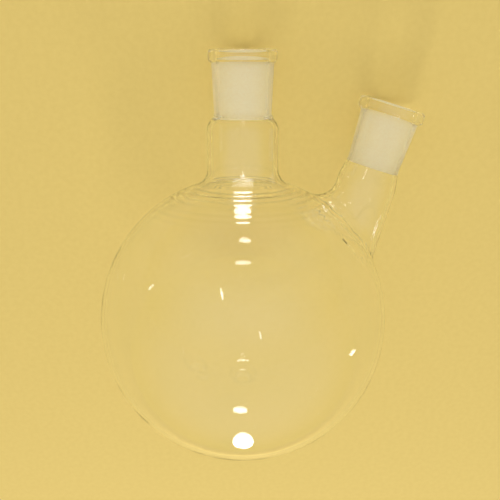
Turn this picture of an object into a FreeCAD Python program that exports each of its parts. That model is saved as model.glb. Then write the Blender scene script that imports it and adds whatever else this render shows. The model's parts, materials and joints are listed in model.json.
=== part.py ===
import FreeCAD, Part
import math
import os

import Sketcher

# A laboratory flask of clear glass, with a round bottom and two necks. Each neck ends in a
# conical ground socket with a thickened rim. The second neck is sealed onto the shoulder of the
# bulb and leans outwards. It is put together as a glassblower does it, from a blown bulb with
# the stubs of both necks and two ground sockets, melted on edge to edge, and is then one glass.
# Millimetres and degrees. The glass is made upright, with the centre of the bulb at the origin
# and the main neck along +Z, and the finished flask is laid down on its side, as it comes to
# rest on a bench.

SIZES = {
    # The bulb holds a litre
    "bulb_radius": 65.5,
    "bulb_wall": 1.9,
    # The ground sockets: a taper of one in ten, 24 wide at the mouth and 29 long
    "mouth_radius": 12.0,
    "ground_length": 29.0,
    "throat_radius": 10.55,
    "mouth_round": 0.8,
    # The rim's thickened bead: a straight band, and below it a slope down to the socket
    "bead_height": 6.2,
    "bead_band": 4.6,
    "bead_round": 1.3,
    "bead_belly": 1.0,
    "bead_root": 1.4,
    # The main neck, with its heights above the bulb's centre
    "main_rim": 122.2,
    "main_bead_radius": 15.3,
    "main_socket_radius": 13.9,
    "main_foot_radius": 12.8,
    "main_tube_radius": 15.9,
    "main_tube_wall": 1.75,
    "main_shoulder": 4.4,
    "main_shoulder_round": 5.0,
    "main_seal": 8.0,
    # The side neck, with its lengths along its axis from the bulb's level
    "side_offset": 38.2,
    "side_tilt": 18.0,
    "side_root": 20.0,
    "side_rim": 102.1,
    "side_bead_radius": 15.3,
    "side_socket_radius": 13.5,
    "side_foot_radius": 12.0,
    "side_tube_radius": 13.7,
    "side_tube_wall": 1.7,
    "side_shoulder": 8.0,
    "side_shoulder_round": 20.0,
    "side_seal": 9.0,
    # Where the sockets' tubes are melted onto the stubs, and a radius that clears each neck
    "main_seam": 70.0,
    "side_seam": 62.1,
    "neck_room": 19.0,
}

# How near counts as the same place when an edge is looked for
CLOSE = 0.001

doc = FreeCAD.newDocument("two_neck_flask")

sheet = doc.addObject("Spreadsheet::Sheet", "sizes")
for row, (alias, size) in enumerate(SIZES.items(), start=1):
    sheet.set(f"A{row}", alias)
    sheet.set(f"B{row}", str(size))
    sheet.setAlias(f"B{row}", alias)
doc.recompute()


def value(total):
    """The number that a sum of sizes, such as main_rim - bead_height, comes to."""
    number = 0.0
    sign = 1
    for word in total.split():
        if word in ("+", "-"):
            sign = 1 if word == "+" else -1
        else:
            number += sign * SIZES[word]
    return number


def cells(total):
    """The same sum, written with the sheet's cells."""
    return " ".join(word if word in ("+", "-") else "sizes." + word for word in total.split())


flask = doc.addObject("PartDesign::Body", "flask")
flask.Label = "flask"
upright_plane = next(f for f in flask.Origin.OriginFeatures if f.Role == "XZ_Plane")


def new_sketch(name, on_side_neck):
    """A sketch in the plane of both necks, its V axis on the main neck's or the side neck's axis."""
    sketch = flask.newObject("Sketcher::SketchObject", name)
    sketch.AttachmentSupport = (upright_plane, [""])
    sketch.MapMode = "FlatFace"
    if on_side_neck:
        tilted = FreeCAD.Rotation(FreeCAD.Vector(0, 0, 1), -SIZES["side_tilt"])
        sketch.AttachmentOffset = FreeCAD.Placement(FreeCAD.Vector(SIZES["side_offset"], 0, 0), tilted)
        sketch.setExpression("AttachmentOffset.Base.x", "sizes.side_offset")
        sketch.setExpression("AttachmentOffset.Rotation.Angle", "-sizes.side_tilt")
    return sketch


def hold(sketch, corner, kind, total):
    """Ties one coordinate of a corner, measured from the sketch's origin, to the sheet."""
    index = sketch.addConstraint(Sketcher.Constraint(kind, -1, 1, corner, 1, value(total)))
    sketch.setExpression(f"Constraints[{index}]", cells(total))


def half_section(name, corners, ball=None, on_side_neck=False):
    """A closed half section against the V axis.

    It starts on the axis and runs through the corners, each a radius and a height, back to the
    axis at the last height. With a ball it starts at the bottom of a circle of that radius about
    the origin, which it leaves at the first corner's radius, and that corner has no height.
    """
    sketch = new_sketch(name, on_side_neck)
    points = []
    for radius, height in corners:
        if height is None:
            points.append((value(radius), math.sqrt(value(ball) ** 2 - value(radius) ** 2)))
        else:
            points.append((value(radius), value(height)))
    lowest = -value(ball) if ball else points[0][1]
    points = [(0.0, lowest)] + points + [(0.0, points[-1][1])]
    vectors = [FreeCAD.Vector(x, y, 0) for x, y in points]

    for index, start in enumerate(vectors):
        end = vectors[(index + 1) % len(vectors)]
        if ball and index == 0:
            circle = Part.Circle(FreeCAD.Vector(0, 0, 0), FreeCAD.Vector(0, 0, 1), value(ball))
            leaves = math.atan2(end.y, end.x)
            sketch.addGeometry(Part.ArcOfCircle(circle, -math.pi / 2, leaves))
        else:
            sketch.addGeometry(Part.LineSegment(start, end))
    for index in range(len(vectors)):
        following = (index + 1) % len(vectors)
        sketch.addConstraint(Sketcher.Constraint("Coincident", index, 2, following, 1))

    last = len(vectors) - 1
    sketch.addConstraint(Sketcher.Constraint("PointOnObject", 0, 1, -2))
    sketch.addConstraint(Sketcher.Constraint("PointOnObject", last, 1, -2))
    sketch.addConstraint(Sketcher.Constraint("Horizontal", last - 1))
    if ball:
        sketch.addConstraint(Sketcher.Constraint("Coincident", 0, 3, -1, 1))
        index = sketch.addConstraint(Sketcher.Constraint("Radius", 0, value(ball)))
        sketch.setExpression(f"Constraints[{index}]", cells(ball))
    else:
        sketch.addConstraint(Sketcher.Constraint("Horizontal", 0))
    for corner, (radius, height) in enumerate(corners, start=1):
        hold(sketch, corner, "DistanceX", radius)
        if height is not None:
            hold(sketch, corner, "DistanceY", height)
    doc.recompute()
    return sketch


def turned(kind, name, sketch):
    """A full turn of a sketch about its V axis, added to the glass or cut out of it."""
    feature = flask.newObject(kind, name)
    feature.Profile = sketch
    feature.ReferenceAxis = (sketch, ["V_Axis"])
    feature.Angle = 360.0
    doc.recompute()


def seen_from(point, on_side_neck):
    """A point's distance from a neck's axis, and its height along that axis."""
    if on_side_neck:
        tilt = math.radians(SIZES["side_tilt"])
        axis = FreeCAD.Vector(math.sin(tilt), 0, math.cos(tilt))
        foot = FreeCAD.Vector(SIZES["side_offset"], 0, 0)
    else:
        axis = FreeCAD.Vector(0, 0, 1)
        foot = FreeCAD.Vector(0, 0, 0)
    height = (point - foot).dot(axis)
    return (point - foot - axis * height).Length, height


def lies_at(edge, radius, height, ball, on_side_neck):
    """Does an edge lie at a radius from a neck's axis, and at a height there or on a ball?"""
    if edge.Degenerated:
        return False
    for point in edge.discretize(5):
        off_axis, along_axis = seen_from(point, on_side_neck)
        if abs(off_axis - value(radius)) > CLOSE:
            return False
        if height and abs(along_axis - value(height)) > CLOSE:
            return False
        if ball and abs(point.Length - value(ball)) > CLOSE:
            return False
    return True


def rounded(name, radius, turn, height=None, ball=None, on_side_neck=False):
    """Rounds the edge at a radius from a neck's axis, at a height there or on a ball."""
    base = flask.Tip
    edges = []
    for number, edge in enumerate(base.Shape.Edges, start=1):
        if lies_at(edge, radius, height, ball, on_side_neck):
            edges.append(f"Edge{number}")
    feature = flask.newObject("PartDesign::Fillet", name)
    feature.Base = (base, edges)
    feature.Radius = value(turn)
    feature.setExpression("Radius", cells(turn))
    doc.recompute()


def neck_outside(neck):
    """The corners of a neck's outside, from the tube under the socket to the top of the rim."""
    foot = f"{neck}_rim - ground_length"
    return [
        (f"{neck}_tube_radius", f"{foot} - {neck}_shoulder"),
        (f"{neck}_foot_radius", foot),
        (f"{neck}_socket_radius", f"{neck}_rim - bead_height"),
        (f"{neck}_bead_radius", f"{neck}_rim - bead_band"),
        (f"{neck}_bead_radius", f"{neck}_rim"),
    ]


def neck_bore(neck):
    """The corners of a neck's bore: the tube, its narrowing, and the ground cone to the mouth."""
    foot = f"{neck}_rim - ground_length"
    return [
        (f"{neck}_tube_radius - {neck}_tube_wall", f"{foot} - {neck}_shoulder"),
        ("throat_radius", foot),
        ("mouth_radius", f"{neck}_rim"),
    ]


# The outside of the glass: the bulb with the main neck, and the side neck sealed onto it
bulb_and_neck = half_section(
    "bulb_and_neck",
    [("main_tube_radius", None)] + neck_outside("main"),
    ball="bulb_radius",
)
turned("PartDesign::Revolution", "blown_bulb", bulb_and_neck)
side_outside = half_section(
    "side_outside",
    [("side_tube_radius", "side_root")] + neck_outside("side"),
    on_side_neck=True,
)
turned("PartDesign::Revolution", "sealed_neck", side_outside)
rounded("main_seal", "main_tube_radius", "main_seal", ball="bulb_radius")
rounded("side_seal", "side_tube_radius", "side_seal", ball="bulb_radius", on_side_neck=True)

# The hollow: the inside of the bulb with the main bore, and the side bore
bulb_hollow = half_section(
    "bulb_hollow",
    [("main_tube_radius - main_tube_wall", None)] + neck_bore("main"),
    ball="bulb_radius - bulb_wall",
)
turned("PartDesign::Groove", "hollow_bulb", bulb_hollow)
side_hollow = half_section(
    "side_hollow",
    [("side_tube_radius - side_tube_wall", "side_root")] + neck_bore("side"),
    on_side_neck=True,
)
turned("PartDesign::Groove", "hollow_neck", side_hollow)

# Inside, each seal is rounded wider than outside by the wall, so that the wall stays even
for neck in ("main", "side"):
    rounded(
        f"{neck}_seal_inside",
        f"{neck}_tube_radius - {neck}_tube_wall",
        f"{neck}_seal + {neck}_tube_wall",
        ball="bulb_radius - bulb_wall",
        on_side_neck=neck == "side",
    )

# The soft turns of the worked glass on each neck, outside and inside, and the melted rim
for neck in ("main", "side"):
    leaning = neck == "side"
    tube = f"{neck}_tube_radius"
    bore = f"{tube} - {neck}_tube_wall"
    bead = f"{neck}_bead_radius"
    turn = f"{neck}_shoulder_round"
    rim = f"{neck}_rim"
    foot = f"{rim} - ground_length"
    narrowing = f"{foot} - {neck}_shoulder"
    rounded(f"{neck}_shoulder_turn", tube, turn, height=narrowing, on_side_neck=leaning)
    rounded(f"{neck}_foot_turn", f"{neck}_foot_radius", turn, height=foot, on_side_neck=leaning)
    rounded(f"{neck}_bore_turn", bore, turn, height=narrowing, on_side_neck=leaning)
    rounded(f"{neck}_bead_root", f"{neck}_socket_radius", "bead_root",
            height=f"{rim} - bead_height", on_side_neck=leaning)
    rounded(f"{neck}_bead_belly", bead, "bead_belly",
            height=f"{rim} - bead_band", on_side_neck=leaning)
    rounded(f"{neck}_bead_top", bead, "bead_round", height=rim, on_side_neck=leaning)
    rounded(f"{neck}_mouth", "mouth_radius", "mouth_round", height=rim, on_side_neck=leaning)

# The room of each socket and its tube, from the seam to past the rim
main_room = doc.addObject("Part::Cylinder", "main_room")
main_room.setExpression("Placement.Base.z", "sizes.main_seam")
side_room = doc.addObject("Part::Cylinder", "side_room")
side_room.Placement.Rotation = FreeCAD.Rotation(FreeCAD.Vector(0, 1, 0), SIZES["side_tilt"])
side_room.setExpression("Placement.Rotation.Angle", "sizes.side_tilt")
side_room.setExpression(
    "Placement.Base.x", "sizes.side_offset + sizes.side_seam * sin(sizes.side_tilt)"
)
side_room.setExpression("Placement.Base.z", "sizes.side_seam * cos(sizes.side_tilt)")
for neck, room in (("main", main_room), ("side", side_room)):
    room.setExpression("Radius", "sizes.neck_room")
    room.setExpression("Height", f"sizes.{neck}_rim")


def piece_of_glass(kind, name, base, tool):
    """A piece of the glass on one side of a seam."""
    piece = doc.addObject(kind, name)
    piece.Label = name
    piece.Base = base
    piece.Tool = tool
    doc.recompute()
    return piece


main_neck = piece_of_glass("Part::Common", "main_neck", flask, main_room)
side_neck = piece_of_glass("Part::Common", "side_neck", flask, side_room)
bulb_with_side = piece_of_glass("Part::Cut", "bulb_with_side", flask, main_room)
bulb = piece_of_glass("Part::Cut", "bulb", bulb_with_side, side_room)


def reach(down, axis, foot, neck):
    """How far a neck's rim reaches below the bulb's centre, along the direction that is down."""
    ring = value(f"{neck}_bead_radius - bead_round")
    centre = foot + axis * value(f"{neck}_rim - bead_round")
    return centre.dot(down) + ring * math.sqrt(1 - axis.dot(down) ** 2) + value("bead_round")


# The rest: the bulb, the main rim and the side rim all touch the bench. The main neck dips until
# its rim is as low as the bulb, and the flask rolls on that line until the side rim is as low.
tilt = math.radians(SIZES["side_tilt"])
main_axis = FreeCAD.Vector(0, 0, 1)
side_axis = FreeCAD.Vector(math.sin(tilt), 0, math.cos(tilt))
side_foot = FreeCAD.Vector(SIZES["side_offset"], 0, 0)
ring_radius = value("main_bead_radius - bead_round")
ring_height = value("main_rim - bead_round")
dip = math.asin(value("bulb_radius - bead_round") / math.hypot(ring_radius, ring_height))
dip -= math.atan2(ring_radius, ring_height)


def downwards(roll):
    """The direction that is down once the flask has rolled that far towards its side neck."""
    level = math.cos(dip)
    return FreeCAD.Vector(level * math.sin(roll), level * math.cos(roll), math.sin(dip))


roll_low = 0.0
roll_high = math.pi / 4
while roll_high - roll_low > 1e-12:
    roll = (roll_low + roll_high) / 2
    if reach(downwards(roll), side_axis, side_foot, "side") < SIZES["bulb_radius"]:
        roll_low = roll
    else:
        roll_high = roll

# Up, and the level direction that the main neck points in, become +Z and +X, with the origin
# where the bulb touches the bench
up = downwards(roll) * -1
along = (main_axis - up * main_axis.dot(up)).normalize()
lying = FreeCAD.Rotation(along, up.cross(along), up, "ZXY").inverted()
pieces = (bulb, main_neck, side_neck)
for piece in pieces:
    piece.Placement = FreeCAD.Placement(FreeCAD.Vector(0, 0, SIZES["bulb_radius"]), lying)
doc.recompute()

faults = []
for item in doc.Objects:
    if "Invalid" in item.State or "Error" in item.State:
        faults.append(f"{item.Label}: {item.State}")
for solid in (flask,) + pieces:
    if solid.Shape.isNull() or not solid.Shape.isValid() or len(solid.Shape.Solids) != 1:
        faults.append(f"{solid.Label}: not one valid solid")
if abs(sum(piece.Shape.Volume for piece in pieces) - flask.Shape.Volume) > 1:
    faults.append("the pieces don't make up the flask")
if faults:
    raise RuntimeError("; ".join(faults))

os.makedirs("parts", exist_ok=True)
for piece in pieces:
    piece.Shape.Solids[0].exportStep(f"parts/{piece.Label}.step")

print(f"main neck dips {math.degrees(dip):.2f}, rolled {math.degrees(roll):.2f}")
print(f"volume of glass {flask.Shape.Volume / 1000:.1f} ml")
for piece in pieces:
    box = piece.Shape.optimalBoundingBox(False)
    print(f"{piece.Label}: {piece.Shape.Volume / 1000:.2f} ml, X {box.XMin:.2f} to {box.XMax:.2f},"
          f" Y {box.YMin:.2f} to {box.YMax:.2f}, Z {box.ZMin:.3f} to {box.ZMax:.2f}")
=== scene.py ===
import json
import math

import bmesh
import bpy
from mathutils import Matrix, Vector, noise


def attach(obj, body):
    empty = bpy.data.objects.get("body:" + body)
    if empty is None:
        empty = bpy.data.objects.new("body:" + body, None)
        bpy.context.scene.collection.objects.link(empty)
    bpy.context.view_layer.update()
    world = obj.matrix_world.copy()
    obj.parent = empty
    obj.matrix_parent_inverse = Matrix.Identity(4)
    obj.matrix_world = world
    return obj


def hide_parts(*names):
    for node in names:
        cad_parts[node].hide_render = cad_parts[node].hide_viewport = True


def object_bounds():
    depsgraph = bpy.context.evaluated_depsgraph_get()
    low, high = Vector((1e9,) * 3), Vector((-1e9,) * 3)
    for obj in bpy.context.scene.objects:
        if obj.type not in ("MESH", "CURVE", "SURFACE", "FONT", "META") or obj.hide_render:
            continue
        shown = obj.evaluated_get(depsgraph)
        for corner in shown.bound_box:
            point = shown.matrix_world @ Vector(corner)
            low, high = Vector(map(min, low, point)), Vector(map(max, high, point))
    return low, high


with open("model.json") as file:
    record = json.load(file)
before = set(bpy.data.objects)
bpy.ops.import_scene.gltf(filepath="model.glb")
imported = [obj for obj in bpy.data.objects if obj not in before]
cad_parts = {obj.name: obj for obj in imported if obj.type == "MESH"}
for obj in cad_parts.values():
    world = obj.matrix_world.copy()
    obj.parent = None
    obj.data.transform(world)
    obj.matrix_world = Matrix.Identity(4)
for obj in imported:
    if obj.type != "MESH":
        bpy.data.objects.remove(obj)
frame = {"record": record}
cad_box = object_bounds()

# The flask lies on its side, so each neck has its own axis, which runs out through the middle
# of its ground socket. The bulb touches the floor at the origin, with its centre half the
# box's height above that.
mounts = {mount["name"]: mount for mount in frame["record"]["mounts"]}
main_mouth = Vector(mounts["main_socket"]["pos_m"])
main_axis = Vector(mounts["main_socket"]["axis"]).normalized()
side_mouth = Vector(mounts["side_socket"]["pos_m"])
side_axis = Vector(mounts["side_socket"]["axis"]).normalized()
bulb_radius = (cad_box[1].z - cad_box[0].z) / 2
bulb_centre = Vector((0, 0, bulb_radius))
towards_side = (side_axis - main_axis * side_axis.dot(main_axis)).normalized()
upwards = towards_side.cross(main_axis)


def neck_frame(mouth, axis):
    """A frame with its origin in the middle of a mouth and Z out along the neck."""
    right = (towards_side - axis * towards_side.dot(axis)).normalized()
    turned = Matrix((right, axis.cross(right), axis)).transposed().to_4x4()
    return Matrix.Translation(mouth) @ turned


# The bulb and the main neck, outside and inside, blown from clear borosilicate glass. The neck
# is a tube that runs into the bulb in a round seal and is drawn in under the ground socket.
# Half of its section is turned about the neck's axis. Heights run down from the mouth. The
# grinding of the cone runs on a little way into the shoulder.
BULB_WALL = 0.0019
MAIN_TUBE = 0.0159
MAIN_WALL = 0.00175
MAIN_SEAL = 0.008
MAIN_SHOULDER = 0.0044
MAIN_TURN = 0.005
MAIN_FOOT = 0.0128
MAIN_SOCKET = 0.0139
BEAD = 0.0153
BEAD_HEIGHT = 0.0062
BEAD_BAND = 0.0046
BEAD_ROUND = 0.0013
BEAD_BELLY = 0.001
BEAD_ROOT = 0.0014
GROUND_LENGTH = 0.029
MOUTH_RADIUS = 0.012
THROAT_RADIUS = 0.01055
MOUTH_ROUND = 0.0008
MAIN_OVERRUN = 0.0002
RING_DEPTH = 0.00004
RING_PITCH = 0.0032
INNER_RING_PITCH = RING_PITCH * 1.2
RINGED_LENGTH = 0.038
CONE_RUN = 20
NEAR_NECK = math.radians(25)
BALL_STEPS = 68
NEAR_STEPS = 50
SEAL_STEPS = 20
ROUND_STEPS = 8
MOUTH_STEPS = 6
AROUND = 144
ROW = 0.004
LONG_RUN = 1.5 * ROW
TOUCHING = 1e-6
main_frame = neck_frame(main_mouth, main_axis)
main_depth = (main_mouth - bulb_centre).length


def turn(section, centre, angle, steps):
    """Carries the section's last point round a centre."""
    last = section.verts[-1]
    bmesh.ops.spin(section, geom=[last], cent=centre, axis=(0, 1, 0), angle=angle, steps=steps)
    section.verts.ensure_lookup_table()


def run_to(section, radius, height):
    """Carries the section's last point straight to a radius and a height."""
    made = bmesh.ops.extrude_vert_indiv(section, verts=[section.verts[-1]])["verts"][0]
    made.co = (radius, 0, height)
    section.verts.ensure_lookup_table()
    return made


def soften(section, corner, radius):
    """Rounds a corner of the section to a radius."""
    arms = [(edge.other_vert(corner).co - corner.co).normalized() for edge in corner.link_edges]
    bend = math.pi - arms[0].angle(arms[1])
    bmesh.ops.bevel(
        section,
        geom=[corner],
        offset=radius * math.tan(bend / 2),
        offset_type="OFFSET",
        segments=ROUND_STEPS,
        profile=0.5,
        affect="VERTICES",
        material=-1,
    )


def ball_with_neck(section, radius, tube, seal):
    """Starts a section with a ball under a neck, rounded into the neck's tube."""
    centre = Vector((0, 0, -main_depth))
    section.verts.new(centre - Vector((0, 0, radius)))
    section.verts.ensure_lookup_table()
    lean = math.asin((tube + seal) / (radius + seal))
    turn(section, centre, lean + NEAR_NECK - math.pi, BALL_STEPS)
    turn(section, centre, -NEAR_NECK, NEAR_STEPS)
    seal_centre = Vector((tube + seal, 0, (radius + seal) * math.cos(lean) - main_depth))
    turn(section, seal_centre, math.pi / 2 - lean, SEAL_STEPS)


def ringed(section, pitch):
    """Leaves the faint rings round a seal that come of turning the glass in the flame."""
    places = [vert.co.copy() for vert in section.verts]
    run = 0.0
    for index in range(len(places) - 2, 0, -1):
        run += (places[index + 1] - places[index]).length
        if run > RINGED_LENGTH:
            break
        along = (places[index + 1] - places[index - 1]).normalized()
        fade = math.sin(math.pi * run / RINGED_LENGTH)
        swell = RING_DEPTH * fade * math.sin(math.tau * run / pitch)
        section.verts[index].co += Vector((along.z, 0, -along.x)) * swell


def rim_and_socket(section, tube, foot, socket, shoulder, bend):
    """Runs a section up the outside of a neck, from its tube to the axis at the mouth."""
    corners = [
        (run_to(section, tube, -GROUND_LENGTH - shoulder), bend),
        (run_to(section, foot, -GROUND_LENGTH), bend),
        (run_to(section, socket, -BEAD_HEIGHT), BEAD_ROOT),
        (run_to(section, BEAD, -BEAD_BAND), BEAD_BELLY),
        (run_to(section, BEAD, 0), BEAD_ROUND),
    ]
    run_to(section, 0, 0)
    for corner, radius in corners:
        soften(section, corner, radius)


def bore_and_cone(section, bore, shoulder, bend, overrun):
    """Runs a section up the inside of a neck, through the ground cone to the melted mouth."""
    narrowing = run_to(section, bore, -GROUND_LENGTH - shoulder)
    widening = (bore - THROAT_RADIUS) * overrun / shoulder
    run_to(section, THROAT_RADIUS + widening, -GROUND_LENGTH - overrun)
    run_to(section, THROAT_RADIUS, -GROUND_LENGTH)
    lip = MOUTH_RADIUS - MOUTH_ROUND / CONE_RUN
    run_to(section, lip, -MOUTH_ROUND)
    turn(section, Vector((lip + MOUTH_ROUND, 0, -MOUTH_ROUND)), math.pi / 2, MOUTH_STEPS)
    run_to(section, 0, 0)
    soften(section, narrowing, bend)


def full_turn(section, place):
    """Turns a section about its axis into a closed skin, in rows, and puts it in its place."""
    for edge in section.edges[:]:
        length = edge.calc_length()
        is_lid = all(vert.co.z > -TOUCHING for vert in edge.verts)
        if length > LONG_RUN and not is_lid:
            bmesh.ops.subdivide_edges(section, edges=[edge], cuts=int(length / ROW))
    bmesh.ops.spin(
        section,
        geom=section.verts[:] + section.edges[:],
        cent=(0, 0, 0),
        axis=(0, 0, 1),
        angle=math.tau,
        steps=AROUND,
        use_merge=True,
    )
    bmesh.ops.remove_doubles(section, verts=section.verts[:], dist=TOUCHING)
    bmesh.ops.recalc_face_normals(section, faces=section.faces[:])
    section.transform(place)


outside = bmesh.new()
ball_with_neck(outside, bulb_radius, MAIN_TUBE, MAIN_SEAL)
ringed(outside, RING_PITCH)
rim_and_socket(outside, MAIN_TUBE, MAIN_FOOT, MAIN_SOCKET, MAIN_SHOULDER, MAIN_TURN)
full_turn(outside, main_frame)
inside = bmesh.new()
ball_with_neck(inside, bulb_radius - BULB_WALL, MAIN_TUBE - MAIN_WALL, MAIN_SEAL + MAIN_WALL)
ringed(inside, INNER_RING_PITCH)
bore_and_cone(inside, MAIN_TUBE - MAIN_WALL, MAIN_SHOULDER, MAIN_TURN, MAIN_OVERRUN)
full_turn(inside, main_frame)

# The side neck, made as a piece of its own from the same glass, with the same ground socket on
# a slightly narrower tube. It leans out from the bulb's shoulder, and its tube is begun inside
# the bulb, where the seal cuts it off.
SIDE_TUBE = 0.0137
SIDE_WALL = 0.0017
SIDE_SHOULDER = 0.008
SIDE_TURN = 0.020
SIDE_FOOT = 0.012
SIDE_SOCKET = 0.0135
SIDE_ROOT = 0.084
SIDE_OVERRUN = 0.0012
side_frame = neck_frame(side_mouth, side_axis)


def tube_from_bulb(section, tube):
    """Starts a section with the end of a tube inside the bulb."""
    section.verts.new((0, 0, -SIDE_ROOT))
    section.verts.ensure_lookup_table()
    run_to(section, tube, -SIDE_ROOT)


side_outside = bmesh.new()
tube_from_bulb(side_outside, SIDE_TUBE)
rim_and_socket(side_outside, SIDE_TUBE, SIDE_FOOT, SIDE_SOCKET, SIDE_SHOULDER, SIDE_TURN)
full_turn(side_outside, side_frame)
side_inside = bmesh.new()
tube_from_bulb(side_inside, SIDE_TUBE - SIDE_WALL)
bore_and_cone(side_inside, SIDE_TUBE - SIDE_WALL, SIDE_SHOULDER, SIDE_TURN, SIDE_OVERRUN)
full_turn(side_inside, side_frame)

# The hand-worked seal, where the side neck is melted onto the bulb. The two skins are joined,
# and the crease between them is rounded as by a ball rolled along it, so that the wall stays
# even. The flame leaves it rippled, most of all between the two necks.
SIDE_SEAL = 0.009
SEAL_EDGE = 0.0009
SEAL_REACH = 0.016
SEAL_SPLITS = 2
SEAL_SMOOTHINGS = 2
ROLLINGS = 12
SKINS_MEET = 2e-5
CREASE_MEETS = 2.5e-4
RIPPLE_DEPTH = 0.0003
RIPPLE_LENGTH = 0.0042
RIPPLE_ELSEWHERE = 0.2
FINE_RIPPLE = 0.4
OUTER_DRIFT = 3
INNER_DRIFT = 11


def melted_together(name, skin, side_skin):
    """Joins the side neck's skin to the bulb's, and returns the joined skin."""
    shells = []
    for shell_name, shell in ((name, skin), (f"{name}_side", side_skin)):
        mesh = bpy.data.meshes.new(shell_name)
        shell.to_mesh(mesh)
        shell.free()
        shells.append(bpy.data.objects.new(shell_name, mesh))
        bpy.context.scene.collection.objects.link(shells[-1])
    union = shells[0].modifiers.new("seal", "BOOLEAN")
    union.operation = "UNION"
    union.solver = "EXACT"
    union.object = shells[1]
    joined = bmesh.new()
    joined.from_object(shells[0], bpy.context.evaluated_depsgraph_get())
    for shell in shells:
        mesh = shell.data
        bpy.data.objects.remove(shell)
        bpy.data.meshes.remove(mesh)
    bmesh.ops.remove_doubles(joined, verts=joined.verts[:], dist=SKINS_MEET)
    bmesh.ops.dissolve_degenerate(joined, edges=joined.edges[:], dist=TOUCHING)
    return joined


def off_surfaces(place, ball, tube):
    """How far a place is off the ball, off the side tube, and along the side neck."""
    across = place - side_mouth
    height = across.dot(side_axis)
    across -= side_axis * height
    return (place - bulb_centre).length - ball, across.length - tube, height


def near_seal(vert, ball, tube):
    """Is a vertex on the bulb or on the tube, close enough to the crease to be worked?"""
    off_ball, off_tube, height = off_surfaces(vert.co, ball, tube)
    return -SIDE_ROOT < height < -GROUND_LENGTH and max(off_ball, off_tube) < SEAL_REACH


def rolled(point, ball, tube, seal):
    """Where a point of the crease goes when a ball of the seal's radius rolls along it."""
    centre = point.copy()
    for rolling in range(ROLLINGS):
        out = centre - bulb_centre
        across = centre - side_mouth
        across -= side_axis * across.dot(side_axis)
        short = Vector((ball + seal - out.length, tube + seal - across.length))
        out.normalize()
        across.normalize()
        cosine = out.dot(across)
        sine_squared = 1 - cosine * cosine
        centre += out * ((short.x - cosine * short.y) / sine_squared)
        centre += across * ((short.y - cosine * short.x) / sine_squared)
    reach = centre - point
    on_ball = (reach.dot(out) - cosine * reach.dot(across)) / sine_squared
    on_tube = (reach.dot(across) - cosine * reach.dot(out)) / sine_squared
    if on_ball > 0 and on_tube > 0:
        return centre - reach.normalized() * seal
    return point


def rounded_seal(skin, ball, tube, seal, drift):
    """Rounds the crease between the ball and the tube of a joined skin, and ripples it."""
    crease = [vert for vert in skin.verts if near_seal(vert, ball, tube)]
    bmesh.ops.remove_doubles(skin, verts=crease, dist=CREASE_MEETS)
    for split in range(SEAL_SPLITS + 1):
        zone = {vert for vert in skin.verts if near_seal(vert, ball, tube)}
        faces = [face for face in skin.faces if any(vert in zone for vert in face.verts)]
        bmesh.ops.triangulate(skin, faces=faces, ngon_method="EAR_CLIP")
        long_edges = [
            edge for edge in skin.edges
            if edge.verts[0] in zone and edge.verts[1] in zone and edge.calc_length() > SEAL_EDGE
        ]
        if split < SEAL_SPLITS:
            bmesh.ops.subdivide_edges(skin, edges=long_edges, cuts=1)
    for vert in zone:
        vert.co = rolled(vert.co, ball, tube, seal)
    for smoothing in range(SEAL_SMOOTHINGS):
        bmesh.ops.smooth_vert(
            skin,
            verts=list(zone),
            factor=0.5,
            use_axis_x=True,
            use_axis_y=True,
            use_axis_z=True,
        )
    skin.normal_update()
    for vert in zone:
        off_ball, off_tube = off_surfaces(vert.co, ball, tube)[:2]
        fade = max(0, 1 - max(off_ball, off_tube) / SEAL_REACH) ** 2
        towards_main = (side_mouth - vert.co).dot(towards_side) / (2 * SIDE_TUBE)
        between_necks = min(1, max(RIPPLE_ELSEWHERE, towards_main))
        spot = vert.co / RIPPLE_LENGTH + Vector((drift, 0, 0))
        swell = noise.noise(spot) + FINE_RIPPLE * noise.noise(spot * 2)
        vert.co += vert.normal * (RIPPLE_DEPTH * fade * between_necks * swell)


outside = melted_together("outside", outside, side_outside)
inside = melted_together("inside", inside, side_inside)
rounded_seal(outside, bulb_radius, SIDE_TUBE, SIDE_SEAL, OUTER_DRIFT)
rounded_seal(
    inside,
    bulb_radius - BULB_WALL,
    SIDE_TUBE - SIDE_WALL,
    SIDE_SEAL + SIDE_WALL,
    INNER_DRIFT,
)

# The glass as one piece. The outer and inner skins meet at both rims. Clear glass has the faint
# waviness of blown glass. The cones inside both sockets are ground to a milky, fine grain, which
# begins below the clear band of the rim. The grain's warm cream is painted: a glow of the yellow
# light that frost scatters from round about.
MOUTH_MIDDLE = 1e-4
REFRACTION = 1.474
CLEAR_TINTS = ((0.985, 0.992, 0.986, 1), (1.0, 1.0, 1.0, 1))
CLEAR_PATCH = 0.03
WAVE_LENGTH = 0.018
WAVE_HEIGHT = 0.00006
GROUND_FROM = 0.0045
GROUND_SLACK = 0.0004
GROUND_ROUGHNESS = 0.4
GROUND_CLARITY = 0.66
# The ground glass's cream is a painted warm glow of scattered yellow light; its patches are
# grain.
GROUND_GRAIN_AND_PAINTED_GLOW = ((0.96, 0.925, 0.78, 1), (1.0, 0.99, 0.86, 1))
GROUND_PATCH = 0.0009
GRAIN_LENGTH = 0.00025
GRAIN_HEIGHT = 0.00002
bmesh.ops.reverse_faces(inside, faces=inside.faces[:])
inner_mesh = bpy.data.meshes.new("inner_skin")
inside.to_mesh(inner_mesh)
inside.free()
outside.from_mesh(inner_mesh)
bpy.data.meshes.remove(inner_mesh)
for mouth in (main_mouth, side_mouth):
    middles = [vert for vert in outside.verts if (vert.co - mouth).length < MOUTH_MIDDLE]
    bmesh.ops.delete(outside, geom=middles, context="VERTS")
for mouth in (main_mouth, side_mouth):
    lips = [
        edge for edge in outside.edges
        if edge.is_boundary and (edge.verts[0].co - mouth).length < BEAD
    ]
    bmesh.ops.bridge_loops(outside, edges=lips)
glass_mesh = bpy.data.meshes.new("flask_glass")
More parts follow.
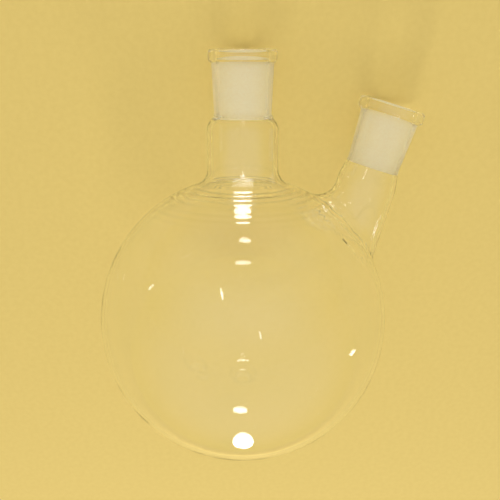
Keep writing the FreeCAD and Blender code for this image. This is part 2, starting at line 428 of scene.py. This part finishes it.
outside.to_mesh(glass_mesh)
outside.free()
glass_mesh.shade_smooth()
flask_glass = bpy.data.objects.new("flask_glass", glass_mesh)
bpy.context.scene.collection.objects.link(flask_glass)


def glass(name, roughness, transmission):
    """A glass of borosilicate's refraction, ready for its nodes."""
    material = bpy.data.materials.new(name)
    material.use_nodes = True
    shader = material.node_tree.nodes["Principled BSDF"]
    shader.inputs["IOR"].default_value = REFRACTION
    shader.inputs["Roughness"].default_value = roughness
    shader.inputs["Transmission Weight"].default_value = transmission
    glass_mesh.materials.append(material)
    return material.node_tree.nodes, material.node_tree.links, shader


def patches(nodes, links, length, detail=2):
    """A noise of patches about one length across, in the flask's own metres."""
    place = nodes.new("ShaderNodeTexCoord")
    texture = nodes.new("ShaderNodeTexNoise")
    texture.inputs["Scale"].default_value = 1 / length
    texture.inputs["Detail"].default_value = detail
    links.new(place.outputs["Object"], texture.inputs["Vector"])
    return texture


def tinted(nodes, links, texture, tints, socket):
    """Runs a colour from the first tint to the second over the middle of a noise."""
    ramp = nodes.new("ShaderNodeValToRGB")
    for stop, position, tint in zip(ramp.color_ramp.elements, (0.35, 0.65), tints):
        stop.position = position
        stop.color = tint
    links.new(texture.outputs["Fac"], ramp.inputs["Fac"])
    links.new(ramp.outputs["Color"], socket)


def waved(nodes, links, texture, height, socket):
    """Raises a noise to a bump of that height in metres."""
    bump = nodes.new("ShaderNodeBump")
    bump.inputs["Strength"].default_value = 1.0
    bump.inputs["Distance"].default_value = height
    links.new(texture.outputs["Fac"], bump.inputs["Height"])
    links.new(bump.outputs["Normal"], socket)


nodes, links, shader = glass("clear_glass", 0.0, 1.0)
texture = patches(nodes, links, CLEAR_PATCH)
tinted(nodes, links, texture, CLEAR_TINTS, shader.inputs["Base Color"])
texture = patches(nodes, links, WAVE_LENGTH, detail=1)
waved(nodes, links, texture, WAVE_HEIGHT, shader.inputs["Normal"])

nodes, links, shader = glass("ground_glass", GROUND_ROUGHNESS, GROUND_CLARITY)
texture = patches(nodes, links, GROUND_PATCH, detail=4)
# Grain in patches, with a painted warm glow of scattered yellow light in its cream.
tinted(nodes, links, texture, GROUND_GRAIN_AND_PAINTED_GLOW, shader.inputs["Base Color"])
texture = patches(nodes, links, GRAIN_LENGTH, detail=3)
waved(nodes, links, texture, GRAIN_HEIGHT, shader.inputs["Normal"])
for place, overrun in ((main_frame, MAIN_OVERRUN), (side_frame, SIDE_OVERRUN)):
    to_neck = place.inverted()
    for face in glass_mesh.polygons:
        local = to_neck @ face.center
        radius = math.hypot(local.x, local.y)
        is_inside = radius < MOUTH_RADIUS + local.z / CONE_RUN + GROUND_SLACK
        if -GROUND_LENGTH - overrun < local.z < -GROUND_FROM and is_inside:
            face.material_index = 1
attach(flask_glass, "root")
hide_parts("bulb", "main_neck", "side_neck")

# The floor, a wide sheet of pale warm yellow paper with faint fibres. It isn't part of the
# flask, which lies on it.
FLOOR_HALF = 6
FIBRE = 0.003
PAPER_ROUGHNESS = 0.9
PAPER_TINTS = ((0.755, 0.555, 0.155, 1), (0.775, 0.575, 0.165, 1))
floor_mesh = bpy.data.meshes.new("floor")
sheet = bmesh.new()
bmesh.ops.create_grid(sheet, x_segments=1, y_segments=1, size=FLOOR_HALF)
sheet.to_mesh(floor_mesh)
sheet.free()
floor = bpy.data.objects.new("floor", floor_mesh)
bpy.context.scene.collection.objects.link(floor)
paper = bpy.data.materials.new("paper")
paper.use_nodes = True
nodes, links = paper.node_tree.nodes, paper.node_tree.links
shader = nodes["Principled BSDF"]
shader.inputs["Roughness"].default_value = PAPER_ROUGHNESS
texture = patches(nodes, links, FIBRE, detail=6)
tinted(nodes, links, texture, PAPER_TINTS, shader.inputs["Base Color"])
floor_mesh.materials.append(paper)

# The view: from above the lying flask, as the upright one is seen from just above its level.
# The lens, and how far the flask stands off the middle, are in pixels of a picture 500 wide.
ABOVE = 0.131
AWAY = 0.429
SWING = math.radians(10)
PITCH = math.radians(13)
PICTURE = 500
FOCAL = 961
OFF_MIDDLE = 7
YAW = math.atan(OFF_MIDDLE / FOCAL)
SENSOR = 36
NEAREST = 0.01
back = upwards * math.cos(SWING) - towards_side * math.sin(SWING)
eye = bulb_centre + main_axis * ABOVE + back * AWAY
look = -back * math.cos(PITCH) - main_axis * math.sin(PITCH)
right = look.cross(main_axis).normalized()
look = look * math.cos(YAW) + right * math.sin(YAW)
right = look.cross(main_axis).normalized()
lens = bpy.data.cameras.new("camera")
lens.sensor_width = SENSOR
lens.lens = SENSOR * FOCAL / PICTURE
lens.clip_start = NEAREST
camera = bpy.data.objects.new("camera", lens)
camera_axes = Matrix((right, right.cross(look), -look)).transposed().to_4x4()
camera.matrix_world = Matrix.Translation(eye) @ camera_axes
bpy.context.scene.collection.objects.link(camera)
bpy.context.scene.camera = camera
bpy.context.scene.view_settings.view_transform = "Standard"

# Light: an even white room at a plain level, and five soft panes for the glints. Where its walls
# are seen, straight or in clear glass, they run from the floor's colour up to a pale warm white.
ROOM_LEVEL = 0.84
WALL_STOPS = ((0.05, (0.88, 0.66, 0.19, 1)), (0.85, (1.02, 0.94, 0.72, 1)))
GLASS_BOUNCES = 40
MIRROR_BOUNCES = 12
PANE_LEVEL = 13
world = bpy.data.worlds.new("room")
world.use_nodes = True
nodes, links = world.node_tree.nodes, world.node_tree.links
backdrop = nodes["Background"]
backdrop.inputs["Strength"].default_value = ROOM_LEVEL
ray = nodes.new("ShaderNodeLightPath")
seen = nodes.new("ShaderNodeMath")
seen.operation = "ADD"
links.new(ray.outputs["Is Camera Ray"], seen.inputs[0])
links.new(ray.outputs["Is Glossy Ray"], seen.inputs[1])
seen_in_glass = nodes.new("ShaderNodeMath")
seen_in_glass.operation = "ADD"
seen_in_glass.use_clamp = True
links.new(seen.outputs[0], seen_in_glass.inputs[0])
links.new(ray.outputs["Is Transmission Ray"], seen_in_glass.inputs[1])
unscattered = nodes.new("ShaderNodeMath")
unscattered.operation = "LESS_THAN"
unscattered.inputs[1].default_value = 0.5
links.new(ray.outputs["Diffuse Depth"], unscattered.inputs[0])
in_view = nodes.new("ShaderNodeMath")
in_view.operation = "MULTIPLY"
links.new(seen_in_glass.outputs[0], in_view.inputs[0])
links.new(unscattered.outputs[0], in_view.inputs[1])
walls = nodes.new("ShaderNodeMix")
walls.data_type = "RGBA"
walls.inputs["A"].default_value = (1, 1, 1, 1)
links.new(in_view.outputs[0], walls.inputs["Factor"])
direction = nodes.new("ShaderNodeTexCoord")
height = nodes.new("ShaderNodeSeparateXYZ")
links.new(direction.outputs["Generated"], height.inputs["Vector"])
rise = nodes.new("ShaderNodeValToRGB")
rise.color_ramp.interpolation = "EASE"
for stop, (position, colour) in zip(rise.color_ramp.elements, WALL_STOPS):
    stop.position = position
    stop.color = colour
links.new(height.outputs["Z"], rise.inputs["Fac"])
links.new(rise.outputs["Color"], walls.inputs["B"])
links.new(walls.outputs["Result"], backdrop.inputs["Color"])
bpy.context.scene.world = world
# Light that reaches the floor under the flask has gone through eight skins of glass or more
bpy.context.scene.cycles.max_bounces = GLASS_BOUNCES
bpy.context.scene.cycles.transmission_bounces = GLASS_BOUNCES
bpy.context.scene.cycles.glossy_bounces = MIRROR_BOUNCES
bpy.context.scene.cycles.blur_glossy = 0.0


def pane(name, direction, distance, width, height, level=PANE_LEVEL):
    """A soft pane of light turned towards the flask, bright enough to glint in clear glass."""
    light = bpy.data.lights.new(name, "AREA")
    light.shape = "ELLIPSE"
    light.size = width
    light.size_y = height
    light.energy = level * math.pi * math.pi * width * height / 4
    holder = bpy.data.objects.new(name, light)
    holder.location = bulb_centre + Vector(direction).normalized() * distance
    holder.rotation_euler = Vector(direction).to_track_quat("Z", "Y").to_euler()
    holder.visible_camera = False
    bpy.context.scene.collection.objects.link(holder)


pane("neck_pane", (0.99, 0.0, 0.12), 0.9, 0.18, 0.05, level=7)
pane("bulb_pane", (-0.93, 0.0, 0.37), 0.9, 0.14, 0.35)
pane("side_pane", (-0.33, -0.93, 0.09), 0.9, 0.025, 0.09)
pane("overhead", (-0.54, 0.03, 0.84), 1.2, 0.18, 0.11)
pane("slot", (0.83, 0.27, 0.49), 0.9, 0.02, 0.14)
